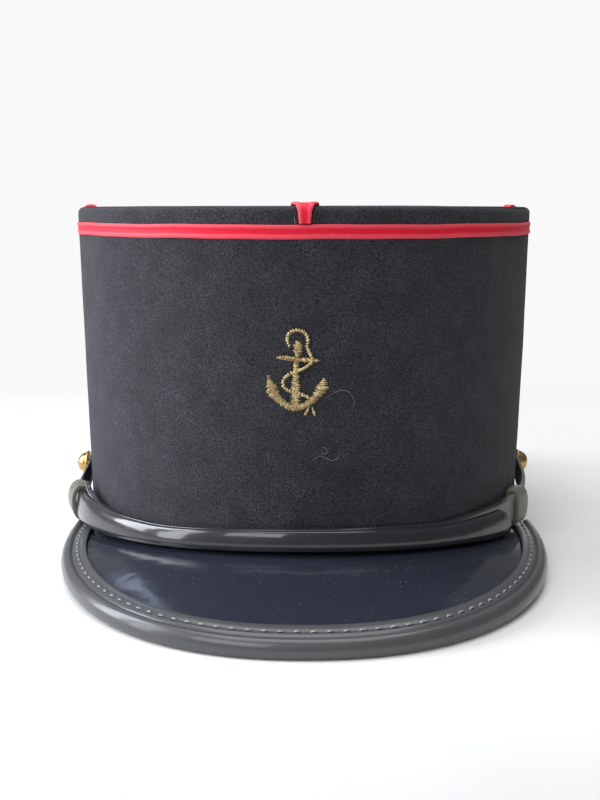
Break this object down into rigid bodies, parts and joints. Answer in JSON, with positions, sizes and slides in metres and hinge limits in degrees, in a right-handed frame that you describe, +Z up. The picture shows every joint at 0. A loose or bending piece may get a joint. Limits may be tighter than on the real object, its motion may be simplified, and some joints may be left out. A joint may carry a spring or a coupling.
{
  "type": "kepi cap",
  "caption": "Oval cloth kepi cap with a flat sunk top, red braid, raised anchor embroidery, a sloping bound leather visor and a buttoned chin strap.",
  "frame": {"origin": "on the surface the cap rests on, under the middle of its bounding box", "axes": "+Z up, the visor points along -Y, +X is to the right seen from the front; the cap rests on the front edge of its visor and the back of its head opening, tipped 1.95 degrees forward"},
  "size_m": [0.1776, 0.2516, 0.1243],
  "materials": {
    "wool_cloth": "felted black wool",
    "red_soutache": "red flat braid",
    "gold_thread": "gold satin stitch",
    "patent_leather": "black patent gloss",
    "patent_binding": "black patent gloss, stitched",
    "patent_strap": "black patent gloss",
    "gilt_brass": "polished gilt"
  },
  "bodies": {
    "root": {"crown_wall": "wool_cloth", "crown_top": "wool_cloth", "soutache_band": "red_soutache", "soutache_front": "red_soutache", "soutache_right": "red_soutache", "soutache_back": "red_soutache", "soutache_left": "red_soutache", "soutache_knot": "red_soutache", "anchor_emblem": "gold_thread", "visor": "patent_leather", "visor_binding": "patent_binding", "chin_strap_outer": "patent_strap", "chin_strap_inner": "patent_strap", "strap_keeper_left": "patent_strap", "strap_keeper_right": "patent_strap", "button_left": "gilt_brass", "button_right": "gilt_brass"}
  },
  "joints": []
}
